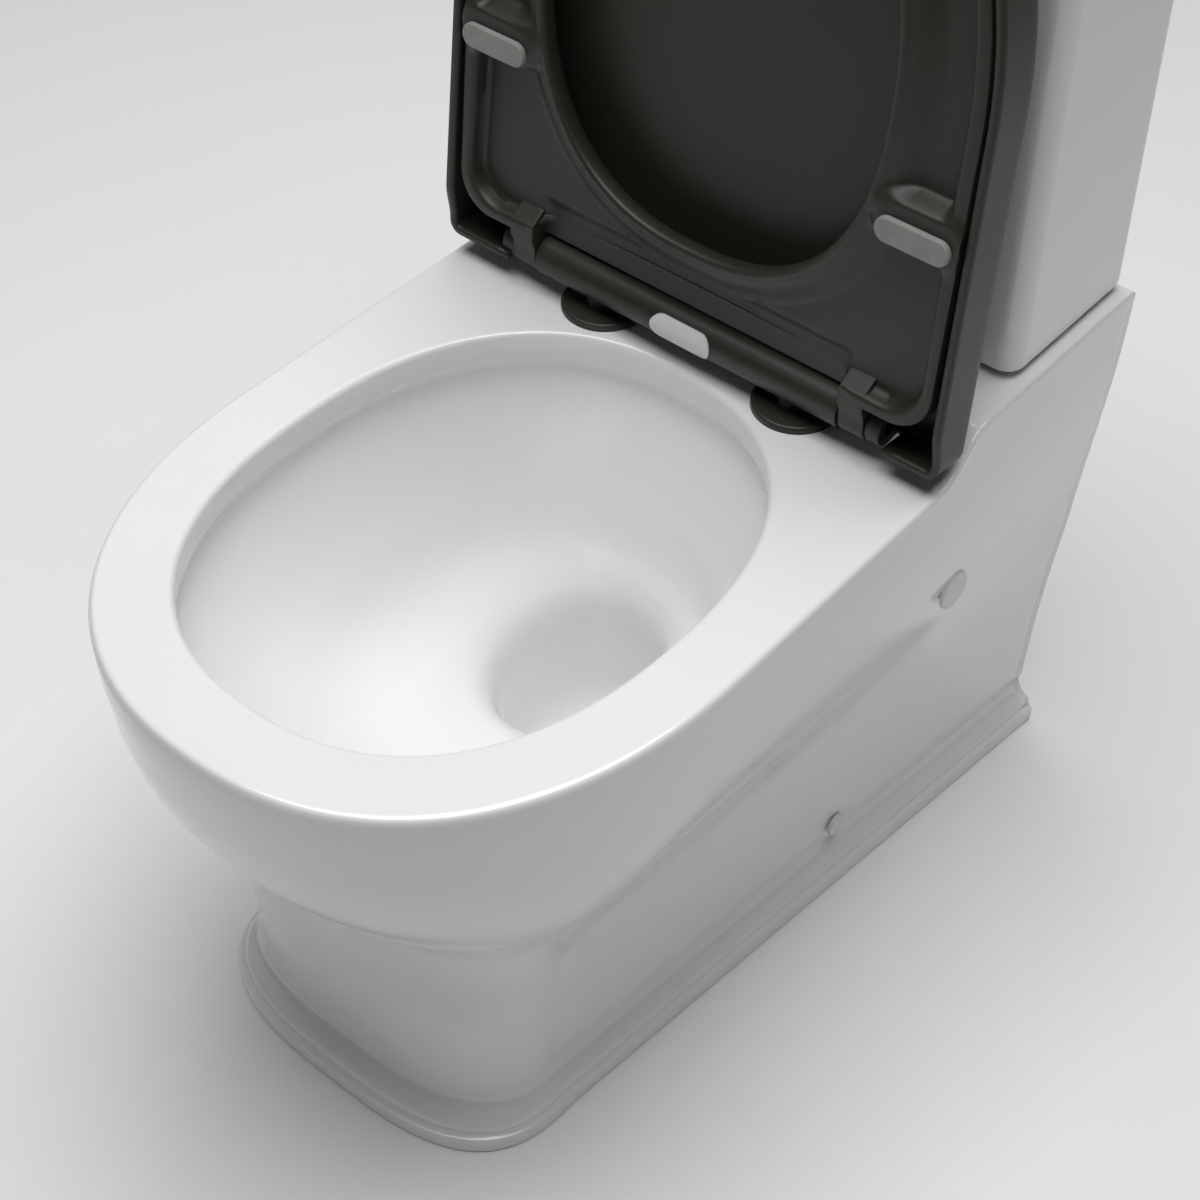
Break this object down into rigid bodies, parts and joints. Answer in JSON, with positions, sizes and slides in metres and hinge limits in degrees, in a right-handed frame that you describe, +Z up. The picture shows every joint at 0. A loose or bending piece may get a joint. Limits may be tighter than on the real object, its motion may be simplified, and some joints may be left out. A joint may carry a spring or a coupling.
{
  "type": "close coupled toilet",
  "caption": "Close coupled toilet with a skirted back-to-wall pan on a stepped plinth, a slim cistern with push buttons and a dark soft-close seat and lid on a quick-release hinge.",
  "frame": {"origin": "floor level, midway across the pan and midway between the front of the rim and the wall", "axes": "+X to the right seen from the front, +Y towards the wall, +Z up"},
  "size_m": [0.3904, 0.645, 0.8526],
  "materials": {
    "glazed_china": "gloss",
    "seat_plastic": "satin",
    "button_plastic": "gloss",
    "bumper_rubber": "matte",
    "damper_plastic": "satin",
    "pin_steel": "brushed",
    "nut_plastic": "satin",
    "seal_rubber": "matte",
    "bracket_plastic": "satin",
    "valve_plastic": "satin",
    "rod_brass": "satin",
    "button_chrome": "polished",
    "spring_steel": "bright"
  },
  "bodies": {
    "china": {"pan": "glazed_china", "cistern": "glazed_china", "floor_bracket_left": "bracket_plastic", "floor_bracket_right": "bracket_plastic", "side_screws": "pin_steel", "upper_side_caps": "button_plastic", "lower_side_caps": "button_plastic", "coupling_seal": "seal_rubber", "coupling_bolts": "pin_steel", "coupling_washers": "seal_rubber", "coupling_pads": "seal_rubber", "coupling_wing_nuts": "nut_plastic", "flush_valve_body": "valve_plastic", "flush_valve_washer": "seal_rubber", "flush_valve_nut": "nut_plastic", "fill_valve_body": "valve_plastic", "fill_valve_washer": "seal_rubber", "fill_valve_nut": "nut_plastic", "float_pivot_pin": "pin_steel", "hinge_base_left": "seat_plastic", "hinge_base_right": "seat_plastic", "seat_bolts": "pin_steel", "seat_washers": "seal_rubber", "seat_wing_nuts": "nut_plastic"},
    "hinge": {"hinge_barrel": "seat_plastic", "damper_left": "damper_plastic", "damper_right": "damper_plastic"},
    "seat": {"seat": "seat_plastic", "seat_bumpers": "bumper_rubber", "hinge_pin_left": "pin_steel", "hinge_pin_right": "pin_steel"},
    "seat_lid": {"seat_lid": "seat_plastic", "lid_bumpers": "bumper_rubber"},
    "release_button": {"release_button": "button_plastic"},
    "tank_lid": {"cistern_lid": "glazed_china", "button_bezel": "button_chrome", "bezel_nut": "nut_plastic", "full_button_spring": "spring_steel", "half_button_spring": "spring_steel"},
    "full_flush_button": {"full_flush_button": "button_chrome", "full_push_rod": "valve_plastic"},
    "half_flush_button": {"half_flush_button": "button_chrome", "half_push_rod": "valve_plastic"},
    "flush_valve": {"overflow_tube": "valve_plastic", "flush_seal": "seal_rubber"},
    "float": {"float_cup": "valve_plastic", "float_rod": "rod_brass"},
    "float_arm": {"float_arm": "valve_plastic"}
  },
  "joints": [
    {"name": "seat_lift_off", "type": "slide", "parent": "china", "child": "hinge", "axis": [0, 0, 1], "range_m": [0, 0.04]},
    {"name": "lid_hinge", "type": "hinge", "parent": "hinge", "child": "seat_lid", "pos_m": [0, 0.113, 0.415], "axis": [1, 0, 0], "range_deg": [0, 96]},
    {"name": "seat_hinge", "type": "hinge", "parent": "hinge", "child": "seat", "pos_m": [0, 0.113, 0.415], "axis": [1, 0, 0], "range_deg": [0, 96]},
    {"name": "release_button_press", "type": "slide", "parent": "hinge", "child": "release_button", "axis": [0, 1, 0], "range_m": [0, 0.0025], "stiffness_N_per_m": 400},
    {"name": "tank_lid_lift", "type": "slide", "parent": "china", "child": "tank_lid", "axis": [0, 0, 1], "range_m": [0, 0.15]},
    {"name": "full_flush_press", "type": "slide", "parent": "tank_lid", "child": "full_flush_button", "axis": [0, 0, -1], "range_m": [0, 0.006], "stiffness_N_per_m": 300, "springref_m": -0.002, "deforming": ["full_button_spring"]},
    {"name": "half_flush_press", "type": "slide", "parent": "tank_lid", "child": "half_flush_button", "axis": [0, 0, -1], "range_m": [0, 0.006], "stiffness_N_per_m": 300, "springref_m": -0.002, "deforming": ["half_button_spring"]},
    {"name": "flush_valve_lift", "type": "slide", "parent": "china", "child": "flush_valve", "axis": [0, 0, 1], "range_m": [0, 0.015]},
    {"name": "float_rise", "type": "slide", "parent": "china", "child": "float", "axis": [0, 0, 1], "range_m": [0, 0.01]},
    {"name": "float_arm_turn", "type": "hinge", "parent": "china", "child": "float_arm", "pos_m": [-0.135, 0.238, 0.652], "axis": [1, 0, 0], "range_deg": [-21, 0]}
  ],
  "couplings": [
    {"joint": "seat_hinge", "follows": "lid_hinge", "ratio": 1},
    {"joint": "flush_valve_lift", "follows": "full_flush_press", "ratio": 2.5},
    {"joint": "float_arm_turn", "follows": "float_rise", "rad_per_m": -35.714}
  ]
}
